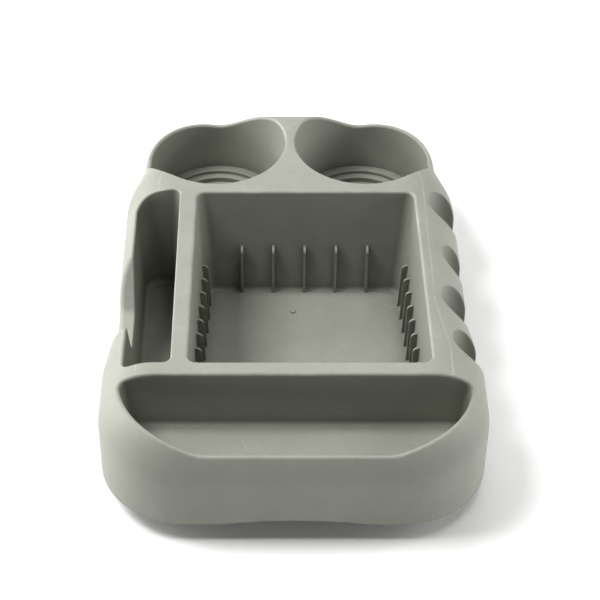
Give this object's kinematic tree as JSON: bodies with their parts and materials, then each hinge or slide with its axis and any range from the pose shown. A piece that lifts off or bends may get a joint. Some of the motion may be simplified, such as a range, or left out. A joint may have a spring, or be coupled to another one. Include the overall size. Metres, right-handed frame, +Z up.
{
  "type": "console organizer tray",
  "caption": "Moulded plastic organizer tray with cup wells, a slotted media bin, a side pocket, coin wells and a front tray.",
  "frame": {"origin": "middle of the overall bounding box in X and Y, at the underside of the main bin", "axes": "+Z up, +Y from the front tray towards the cup wells, +X towards the coin wells"},
  "size_m": [0.208, 0.299, 0.073],
  "materials": {
    "body_plastic": "fine matt spark texture, mid grey with a slight green cast"
  },
  "bodies": {
    "root": {"deck_shell": "body_plastic", "main_bin": "body_plastic", "front_tray": "body_plastic", "side_pocket": "body_plastic", "cup_well_left": "body_plastic", "cup_well_right": "body_plastic", "coin_well_1": "body_plastic", "coin_well_2": "body_plastic", "coin_well_3": "body_plastic", "coin_well_4": "body_plastic", "rear_rib_1": "body_plastic", "rear_rib_2": "body_plastic", "rear_rib_3": "body_plastic", "rear_rib_4": "body_plastic", "rear_rib_5": "body_plastic", "front_rib_1": "body_plastic", "front_rib_2": "body_plastic", "front_rib_3": "body_plastic", "front_rib_4": "body_plastic", "front_rib_5": "body_plastic", "left_rib_1": "body_plastic", "left_rib_2": "body_plastic", "left_rib_3": "body_plastic", "left_rib_4": "body_plastic", "left_rib_5": "body_plastic", "left_rib_6": "body_plastic", "left_rib_7": "body_plastic", "left_rib_8": "body_plastic", "left_rib_9": "body_plastic", "right_rib_1": "body_plastic", "right_rib_2": "body_plastic", "right_rib_3": "body_plastic", "right_rib_4": "body_plastic", "right_rib_5": "body_plastic", "right_rib_6": "body_plastic", "right_rib_7": "body_plastic", "right_rib_8": "body_plastic", "right_rib_9": "body_plastic"}
  },
  "joints": []
}
